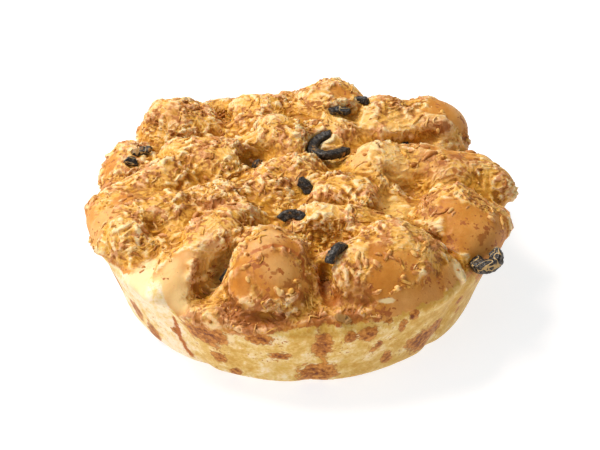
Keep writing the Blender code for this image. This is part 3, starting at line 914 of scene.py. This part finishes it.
def flatten_underside(obj, height):
    """Vertices below this height go down to the table, and the faces there become one."""
    bm = bmesh.new()
    bm.from_mesh(obj.data)
    for vert in bm.verts:
        if vert.co.z < height:
            vert.co.z = 0.0
    bm.normal_update()
    flat = [face for face in bm.faces if all(vert.co.z == 0.0 for vert in face.verts)]
    bmesh.ops.dissolve_faces(bm, faces=flat, use_verts=True)
    bm.to_mesh(obj.data)
    bm.free()


def triangle_count(obj):
    """The number of triangles in the object's mesh."""
    obj.data.calc_loop_triangles()
    return len(obj.data.loop_triangles)


def lighten(obj, most):
    """Fewer triangles where there are more than this many, with the shape kept."""
    before = triangle_count(obj)
    if before > most:
        add_modifier(obj, "Lighter net", "DECIMATE", ratio=most / before)
        make_plain(obj)
    print(obj.name, "has", triangle_count(obj), "triangles, from", before)


flatten_underside(crust, BASE_RELIEF)
lighten(crust, MOST_TRIANGLES)

# %% [markdown]
# ## The finish of the crust
#
# One finish covers the whole loaf, because dough, cheese and wall run into each other
# without a seam. A painted picture could be wrapped around it, but it would stretch on the
# lumps and blur up close. Here the finish is mixed from noise and from the numbers on the
# mesh, one layer over the next, and each layer stands for one thing that the oven did.

# %% Helpers for finishes
def colour(red, green, blue):
    """A colour as it looks on a screen, 0 to 255, as Blender's linear light."""
    def linear(value):
        value /= 255
        return value / 12.92 if value <= 0.04045 else ((value + 0.055) / 1.055) ** 2.4
    return (linear(red), linear(green), linear(blue), 1.0)


def own_number(tree, name):
    """The number that the mesh keeps under this name."""
    return node(tree, "ShaderNodeAttribute", attribute_name=name).outputs["Fac"]


def speckle(tree, place, size, detail=3.0, roughness=0.55, distortion=0.0):
    """Noise from 0 to 1 with swellings of this size in millimetres."""
    inputs = {"Vector": place, "Scale": 1 / (size * MM), "Detail": detail,
              "Roughness": roughness, "Distortion": distortion}
    return node(tree, "ShaderNodeTexNoise", inputs).outputs["Fac"]


def weighed(tree, parts, start=0.0):
    """The sum of these numbers, each times its weight."""
    total = start
    for value, weight in parts:
        total = sum_of(tree, "MULTIPLY_ADD", value, weight, total)
    return total


def laid_over(tree, share, under, over):
    """The colour under, with this share of the other one laid over it."""
    inputs = {0: share, 6: under, 7: over}
    return node(tree, "ShaderNodeMix", inputs, data_type="RGBA").outputs[2]


def tinted(tree, under, where, steps, tone, share=1.0):
    """The colour under, with a share of this tone where a number passes the two steps."""
    over = step_of(tree, where, *steps)
    return laid_over(tree, times(tree, over, share), under, colour(*tone))


def ramp(tree, value, stops):
    """A colour ramp with these stops, each a position and a screen colour."""
    made = node(tree, "ShaderNodeValToRGB", {0: value})
    elements = made.color_ramp.elements
    while len(elements) < len(stops):
        elements.new(0.5)
    for element, (position, *tone) in zip(elements, stops):
        element.position = position
        element.color = colour(*tone)
    return made.outputs[0]


def new_finish(material):
    """The material's tree, its shader and the object's own coordinates."""
    material.use_nodes = True
    tree = material.node_tree
    shader = tree.nodes["Principled BSDF"]
    shader.inputs["Specular IOR Level"].default_value = 0.22
    place = node(tree, "ShaderNodeTexCoord").outputs["Object"]
    return tree, shader, place


def coat(tree, shader, tone, relief, strength, depth):
    """The shader takes this colour and a bump from the relief, this many metres deep."""
    tree.links.new(tone, shader.inputs["Base Color"])
    inputs = {"Strength": strength, "Distance": depth, "Height": relief}
    tree.links.new(node(tree, "ShaderNodeBump", inputs).outputs[0], shader.inputs["Normal"])


# %% [markdown]
# ## Gold, brown and tan
#
# Baked cheese is deep orange in its dips and pale gold on its edges, partly its own tone and
# partly painted shade and painted highlight, and the oven browned it in blotches. Loose
# cheese needs the same colours as melted cheese, so both come from one function. Bare dough
# is tanned evenly, with a few freckles.

# %% Cheese and dough colours
# How much of the gold is lost where cheese is fully browned.
BROWNING = 0.85


def toasting(tree, place):
    """Where the oven browned the cheese, 0 to 1, the same for every piece of it."""
    spread = weighed(tree, [
        (speckle(tree, place, 16, 2.0), 0.4), (speckle(tree, place, 5.5, 2.0), 0.45),
        (speckle(tree, place, 2.2, 1.0), 0.4),
    ])
    return step_of(tree, spread, 0.605, 0.69)


def cheese_colour(tree, level, toast):
    """Baked cheese: deep orange where level is 0, pale gold at 1, brown where toasted. The
    deep orange is partly painted shade and the pale gold partly painted highlight.
    """
    golden = ramp(tree, level, [
        (0.05, 180, 114, 16), (0.35, 221, 162, 66), (0.62, 230, 178, 100),
        (0.95, 238, 208, 154),
    ])
    browned = ramp(tree, level, [
        (0.05, 108, 48, 4), (0.5, 172, 99, 36), (0.9, 212, 144, 90),
    ])
    return laid_over(tree, times(tree, toast, BROWNING), golden, browned)


def dough_colour(tree, place, wide, middling, blond):
    """The tanned skin of bare dough, paler where it is blond and where light is painted on."""
    shade = weighed(tree, [(wide, 0.6), (middling, 0.4)])
    tan = ramp(tree, shade, [(0.32, 180, 106, 26), (0.5, 198, 128, 46), (0.68, 218, 152, 72)])
    # Pale dough, and painted light where the crown catches the light.
    tan = laid_over(tree, blond, tan, colour(255, 214, 146))
    freckle = weighed(tree, [
        (speckle(tree, place, 2.0, 2.0), 0.6), (speckle(tree, place, 9), 0.5), (blond, -0.12),
    ])
    return tinted(tree, tan, freckle, (0.61, 0.66), (170, 96, 42))


# %% [markdown]
# ## Melted cheese, layer by layer
#
# The gold starts from a number that is high on ridges and low in dips. The layers over it
# make it look baked and deep: yellow hollows, painted shade in the creases between the
# pieces and in the crevices between strips, pale soft places that are partly painted light,
# and brown marks. One painted mask could hold them all, but as layers each can be set
# against the photograph alone.

# %% Noise and numbers of the crust
tree, shader, place = new_finish(crust_finish)
fine = speckle(tree, place, 1.2)
middling = speckle(tree, place, 4.5)
wide = speckle(tree, place, 22, 2.0)
own = {name: own_number(tree, name) for name in (
    "cheese", "strewn", "rise", "dip", "valley", "soft", "toasted", "blond", "pale",
    "yellow", "fried", "crumb", "seam", "above_edge",
)}

# %% Melted cheese
thick = weighed(tree, [(own["strewn"], 0.4)], 0.6)
ridge = times(tree, ridges(tree, place, RIDGE_GAP), thick)
# Low in dips and high on ridge crests: partly the cheese's own tone, partly painted shade in the
# dips and painted highlight on the crests.
level = weighed(tree, [
    (own["rise"], 0.2), (own["dip"], -2.4), (ridge, 0.4), (fine, 0.85), (middling, 0.3),
    (own["valley"], -0.05), (own["soft"], 0.3),
], -0.34)
# Hollows and soft places brown less, and toasted places brown in any case; these also
# paint shade in a few gaps.
toast = times(tree, toasting(tree, place), step_of(tree, own["valley"], 1.3, -0.7))
toast = times(tree, toast, step_of(tree, own["soft"], 1.0, 0.0))
toast = sum_of(tree, "MAXIMUM", toast, own["toasted"])
melted = cheese_colour(tree, level, toast)
# Yellow hollows, painted shade in creases and crevices, and soft places, in this order.
hollow = sum_of(tree, "MULTIPLY_ADD", middling, 2.0, own["valley"])
melted = tinted(tree, melted, hollow, (1.1, 2.8), (216, 158, 46), 0.55)
# Painted shade in the deep creases between the pieces, left out in soft places.
painted_crease_shade = weighed(tree, [(own["valley"], 1.0), (own["soft"], -4.0)])
melted = tinted(tree, melted, painted_crease_shade, (1.6, 4.5), (146, 84, 14), 0.6)
# Painted shade in the crevices between strips.
melted = tinted(tree, melted, own["dip"], (0.03, 0.2), (150, 82, 20), 0.5)
# Soft places: yellow cheese, laid on paler as painted light over shaded hollows.
melted = laid_over(tree, times(tree, own["soft"], 0.4), melted, colour(244, 202, 118))

# %% Crown
tan = dough_colour(tree, place, wide, middling, own["blond"])
crown = laid_over(tree, own["cheese"], tan, melted)
# Brown marks, most of all on the ledge in front, and painted shade in a few gaps.
mark = weighed(tree, [
    (own["toasted"], 0.45), (speckle(tree, place, 5.5, 2.0), 0.8),
    (speckle(tree, place, 2.2, 1.0), 0.7),
])
crown = tinted(tree, crown, mark, (1.03, 1.16), (158, 88, 28), 0.75)

# %% [markdown]
# ## Wall and fried patches
#
# The wall only touched the tin, so it is pale and nearly smooth, with small flecks and
# yellow stains. The number of each fried patch falls off evenly, and cut as it is, it would
# give a round spot. So noise is added before a narrow step cuts it, which tears the edge,
# and the values near the cut give the patch a dark rim.

# %% Pale wall
tone = weighed(tree, [
    (wide, 0.6), (middling, 1.1), (fine, 0.6), (own["pale"], 0.42),
], -0.89)
wall = ramp(tree, tone, [
    (0.2, 204, 154, 62), (0.42, 221, 181, 97), (0.58, 234, 205, 143), (0.8, 246, 226, 194),
])
fleck = weighed(tree, [(speckle(tree, place, 1.3, 2.0), 0.7), (speckle(tree, place, 11), 0.5)])
wall = tinted(tree, wall, fleck, (0.71, 0.77), (186, 122, 56))
stain = weighed(tree, [(own["yellow"], 0.5), (middling, 1.2), (wide, 1.0)], -0.9)
wall = tinted(tree, wall, stain, (0.2, 0.9), (208, 163, 60))

# %% Fried patches
torn = speckle(tree, place, 5.5, 1.5, 0.5, 0.4)
pit = speckle(tree, place, 2.0, 2.0)
ragged = weighed(tree, [(own["fried"], 1.0), (torn, 1.3), (pit, 1.1)], -1.1)
deep = step_of(tree, ragged, 0.1, 0.9)
shade = weighed(tree, [(pit, 1.2), (torn, 0.3), (deep, -0.12)], -0.25)
brown = ramp(tree, shade, [(0.25, 116, 54, 4), (0.42, 172, 102, 26), (0.62, 208, 142, 62)])
off_rim = sum_of(tree, "ABSOLUTE", sum_of(tree, "SUBTRACT", ragged, 0.14))
brown = tinted(tree, brown, off_rim, (0.14, 0.02), (136, 70, 16), 0.55)
wall = laid_over(tree, step_of(tree, ragged, -0.02, 0.26), wall, brown)

# %% [markdown]
# ## Crown and wall together
#
# The browned crown ends in a line around the loaf, and noise frays it as it frayed the
# cheese. Bare crumb and the thin seams lie over both. The finest grit is too small for the
# mesh, so a bump gives it, and a little light passes through, as it does in bread.

# %% Baked crust
edge = weighed(tree, [(own["above_edge"], 1.0), (middling, 7.0), (fine, 3.0)], -5.0)
above = step_of(tree, edge, -0.4, 0.8)
whole = laid_over(tree, above, wall, crown)
bare = weighed(tree, [(own["crumb"], 1.0), (middling, 0.8)], -0.4)
whole = tinted(tree, whole, bare, (0.0, 0.4), (236, 208, 154))
seam = sum_of(tree, "MULTIPLY_ADD", fine, 0.9, own["seam"])
whole = tinted(tree, whole, seam, (0.6, 1.0), (178, 100, 36))
grit = weighed(tree, [(fine, 0.35), (speckle(tree, place, 0.55), 0.25)])
crest = times(tree, times(tree, own["cheese"], above), ridge)
coat(tree, shader, whole, sum_of(tree, "MULTIPLY_ADD", crest, 0.6, grit), 0.8, 0.7 * MM)
tree.links.new(sum_of(tree, "MULTIPLY_ADD", fine, 0.3, 0.36), shader.inputs["Roughness"])
# Light that has passed through crust comes out warmer, so red goes furthest.
shader.inputs["Subsurface Weight"].default_value = 0.2
shader.inputs["Subsurface Radius"].default_value = (1.0, 0.5, 0.15)
shader.inputs["Subsurface Scale"].default_value = 2.5 * MM
print("baked crust:", len(tree.nodes), "nodes")

# %% [markdown]
# ## Loose cheese on top
#
# The last cheese lies on the crust without melting in, so its edges are crisp. A remesh
# fine enough to keep them would make a huge mesh, so these stay pieces of their own. The
# same trees strew them, this time without the skin: fine strips, browned strips, and crumbs
# that are each only a few faces. A few single shreds lie on the cheeks that stayed bare.

# %% Loose cheese
strip_finish = bpy.data.materials.new("toasted cheese")
brown_finish = bpy.data.materials.new("browned cheese")


def strewn_piece(skin, name, tree, values):
    """A piece of its own, strewn over a copy of this skin."""
    piece = spare_copy(skin, name)
    add_tree(piece, tree, values)
    make_plain(piece)
    for polygon in piece.data.polygons:
        polygon.use_smooth = True
    lighten(piece, MOST_TRIANGLES)
    return piece


loose_strips = strip_tree("loose strips", keep_skin=False)
loose_crumbs = crumb_tree("loose crumbs", keep_skin=False)
strips = strewn_piece(dough, "cheese_strips", loose_strips, strip_values(
    many=24000.0, length=5, radius=0.4, wiggle=9, lift=0.25, sides=5, bends=9, seed=8,
    material=strip_finish,
))
brown_strips = strewn_piece(dough, "browned_strips", loose_strips, strip_values(
    many=15000.0, length=3.6, radius=0.8, wiggle=4, lift=0.0, sides=6, bends=6, seed=9,
    material=brown_finish,
))

# %% Single shreds
# Where shreds lie on bare dough: x, y and z from the tin's axis, a radius and how many.
SPRINKLED_PLACES = [
    (33, -64, 57, 7, 3.0), (42, -71, 53, 8, 3.0), (48, -66, 56, 6, 3.0), (54, -60, 56, 7, 3.0),
    (36, -77, 50, 7, 2.5), (-22, -74, 55, 6, 2.0), (-2, -80, 50, 6, 2.5),
    (67, -30, 58, 8, 2.0), (86, -30, 50, 9, 1.5), (-80, -20, 55, 7, 2.0),
    (-88, -30, 46, 8, 1.0), (64, 54, 58, 8, 2.0), (43, 10, 56, 9, 2.0), (58, 20, 58, 8, 2.0),
    (50, 80, 46, 13, 1.5), (-20, 88, 46, 12, 1.5), (-68, 62, 46, 11, 1.5),
    (20, 87, 48, 9, 1.5), (91, 22, 43, 11, 1.5), (-90, 4, 42, 8, 1.5),
]
sprinkled = spots(dough_places, SPRINKLED_PLACES) * (1 - fade(0.3, 0.8, cover))
sprinkled = np.maximum(sprinkled, 1.8 * thin)
write_number(dough, "strewn", sprinkled * olive_room(dough))
shreds = strewn_piece(dough, "single_shreds", loose_strips, strip_values(
    many=15000.0, length=4.2, radius=0.95, wiggle=3, lift=0.15, sides=8, bends=8, seed=21,
    material=strip_finish,
))

# %% Crumbs
crumbs = strewn_piece(crust, "cheese_crumbs", loose_crumbs, crumb_values(
    many=60000.0, radius=0.5, roundness=1, seed=12, material=strip_finish,
))
brown_crumbs = strewn_piece(crust, "browned_crumbs", loose_crumbs, crumb_values(
    many=60000.0, radius=0.6, roundness=1, seed=14, material=brown_finish,
))

# %% Toasted cheese
def cheese_finish(material, least):
    """The finish of loose cheese, browned at least this much."""
    tree, shader, place = new_finish(material)
    fine = speckle(tree, place, 1.2)
    level = weighed(tree, [(own_number(tree, "tone"), 0.4), (fine, 0.6)], 0.05)
    toast = sum_of(tree, "MAXIMUM", toasting(tree, place), least)
    coat(tree, shader, cheese_colour(tree, level, toast), fine, 0.4, 0.4 * MM)
    shader.inputs["Roughness"].default_value = 0.5


cheese_finish(strip_finish, 0.0)
cheese_finish(brown_finish, 0.9)

# %% [markdown]
# ## The olive slices
#
# Each slice is a piece of a ring cut from a stoned black olive. In the oven it dries: the
# skin wrinkles along the slice and the cut flesh shrinks. Wrinkles in the finish alone
# would leave its outline smooth, so the CAD solid is remeshed very finely and noise presses
# them into the shape. Browned cheese clings to the slices, and strings of it cross a few.

# %% Dried slices
olive_finish = bpy.data.materials.new("dried olive")
# How far the wide and the fine wrinkles push the skin, in millimetres.
WIDE_FOLD, FINE_FOLD = 0.28, 0.14


def dried_olive(name):
    """The slice that replaces this olive solid."""
    obj = merged_copy(name, name + "_slice")
    add_modifier(obj, "Fine net", "REMESH", mode="VOXEL", voxel_size=0.38 * MM)
    add_modifier(obj, "Rounded", "SMOOTH", factor=0.5, iterations=5)
    make_plain(obj)
    bm = bmesh.new()
    bm.from_mesh(obj.data)
    bm.normal_update()
    moves = []
    for vert in bm.verts:
        spot = vert.co / MM
        fold = 1 - 2 * abs(noise.noise(spot * 0.45))
        fine_fold = noise.noise(spot * 1.3)
        moves.append(vert.normal * (WIDE_FOLD * fold + FINE_FOLD * fine_fold) * MM)
    for vert, move in zip(bm.verts, moves):
        vert.co += move
    for face in bm.faces:
        face.smooth = True
    bm.to_mesh(obj.data)
    bm.free()
    obj.data.materials.clear()
    obj.data.materials.append(olive_finish)
    return obj


# %% Cheese on the slices
# How much browned cheese clings to a slice, where it is more than a trace.
CLINGING = {"olive_front_grey": 0.62, "olive_left_grey": 0.37, "olive_hollow_left": 0.37}
TRACE = 0.3
# Slices with strings of cheese across them.
STRUNG = ("olive_right_edge", "olive_back_left", "olive_left_grey", "olive_left_end")

olives = {}
for name in sorted(frame["nodes"]):
    if name.startswith("olive_"):
        olives[name] = dried_olive(name)
        count = len(olives[name].data.vertices)
        write_number(olives[name], "clinging", [CLINGING.get(name, TRACE)] * count)
        write_number(olives[name], "strung", [float(name in STRUNG)] * count)
print(len(olives), "olive slices,", sum(len(o.data.polygons) for o in olives.values()), "faces")

# %% Finish of the olives
tree, shader, place = new_finish(olive_finish)
fibres_and_sheen = speckle(tree, place, 1.0, 4.0, 0.65, 0.6)
# Lighter fibres of the flesh, and painted sheen along the slice.
black = ramp(tree, fibres_and_sheen, [(0.3, 20, 17, 16), (0.52, 48, 43, 40), (0.72, 124, 112, 96)])
clinging = sum_of(tree, "ADD", own_number(tree, "clinging"), speckle(tree, place, 3.5))
black = tinted(tree, black, clinging, (0.9, 1.0), (160, 116, 62))
strings = times(tree, ridges(tree, place, 4.5), own_number(tree, "strung"))
black = tinted(tree, black, strings, (0.94, 0.995), (190, 156, 100))
coat(tree, shader, black, fibres_and_sheen, 0.6, 0.5 * MM)
shader.inputs["Roughness"].default_value = 0.32

# %% [markdown]
# ## Floor, light and camera
#
# The loaf was photographed on white, under a large soft light behind its left shoulder,
# from 35 degrees above. A pale floor and a bright surround give the white, and one big
# area light gives the direction. A weak one on the left lifts the shadows there.

# %% Floor
FLOOR_HALF = 4

corners = [(-1, -1), (1, -1), (1, 1), (-1, 1)]
floor_mesh = bpy.data.meshes.new("floor")
floor_mesh.from_pydata([(x * FLOOR_HALF, y * FLOOR_HALF, 0) for x, y in corners], [],
                       [(0, 1, 2, 3)])
floor = bpy.data.objects.new("floor", floor_mesh)
bpy.context.scene.collection.objects.link(floor)
floor_finish = bpy.data.materials.new("pale floor")
tree, shader, place = new_finish(floor_finish)
cloud = ramp(tree, speckle(tree, place, 400, 2.0), [(0.3, 182, 166, 156), (0.7, 187, 171, 161)])
tree.links.new(cloud, shader.inputs["Base Color"])
shader.inputs["Roughness"].default_value = 0.9
# A glow of its own keeps the floor white, also near the loaf.
shader.inputs["Emission Color"].default_value = (0.925, 1, 1.04, 1)
shader.inputs["Emission Strength"].default_value = 0.74
floor.data.materials.append(floor_finish)
floor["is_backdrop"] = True


# %% Lights
def soft_light(name, place, aim, size, power):
    """A square area light at this place, turned to its aim."""
    light = bpy.data.lights.new(name, "AREA")
    light.size = size
    light.energy = power
    obj = bpy.data.objects.new(name, light)
    obj.location = place
    obj.rotation_mode = "QUATERNION"
    obj.rotation_quaternion = (Vector(aim) - Vector(place)).to_track_quat("-Z", "Y")
    bpy.context.scene.collection.objects.link(obj)
    return obj


MIDDLE = (0, 0, 0.03)
soft_light("key", (-0.8, 0.4, 1.35), MIDDLE, 0.7, 30)
soft_light("left fill", (-1.1, -0.9, 0.75), MIDDLE, 0.9, 6)
world = bpy.data.worlds.new("bright surround")
world.use_nodes = True
world.node_tree.nodes["Background"].inputs["Color"].default_value = (1, 1, 1, 1)
world.node_tree.nodes["Background"].inputs["Strength"].default_value = 0.36
bpy.context.scene.world = world
bpy.context.scene.view_settings.view_transform = "Standard"

# %% Camera
import math

# The photograph's angle above the table, and its width and focal length in pixels.
ABOVE_TABLE = math.radians(35)
PHOTO_WIDTH, FOCAL_LENGTH = 600, 1736
# The camera's distance from the loaf in metres, and its sensor in millimetres.
DISTANCE, SENSOR = 0.8, 36

aim = Vector((-0.00012, -0.00145, 0.0274))
back = Vector((0, -math.cos(ABOVE_TABLE), math.sin(ABOVE_TABLE)))
camera = bpy.data.objects.new("camera", bpy.data.cameras.new("camera"))
camera.data.sensor_width = SENSOR
camera.data.lens = FOCAL_LENGTH / PHOTO_WIDTH * SENSOR
camera.location = aim + back * DISTANCE
camera.rotation_mode = "QUATERNION"
camera.rotation_quaternion = (-back).to_track_quat("-Z", "Y")
bpy.context.scene.collection.objects.link(camera)
bpy.context.scene.camera = camera

# %% [markdown]
# ## Each piece in its place
#
# The dressed pieces take over from the CAD solids: the crust from the loaf, and each slice
# from its olive. The loose cheese lies on the loaf and replaces nothing. The sizes of the
# boxes around the solids and around the dressed pieces are printed.

# %% Join the pieces to the frame
import json

bpy.data.objects.remove(dough)
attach(crust, "root")
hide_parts("loaf")
for piece in (strips, brown_strips, shreds, crumbs, brown_crumbs):
    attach(piece, "root")
for name, piece in olives.items():
    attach(piece, "root")
    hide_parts(name)
boxes = {"cad": [list(corner) for corner in CAD_BOX],
         "visual": [list(corner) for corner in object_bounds()]}
for name, (low, high) in boxes.items():
    print(name, [round((b - a) / MM, 1) for a, b in zip(low, high)], "mm")
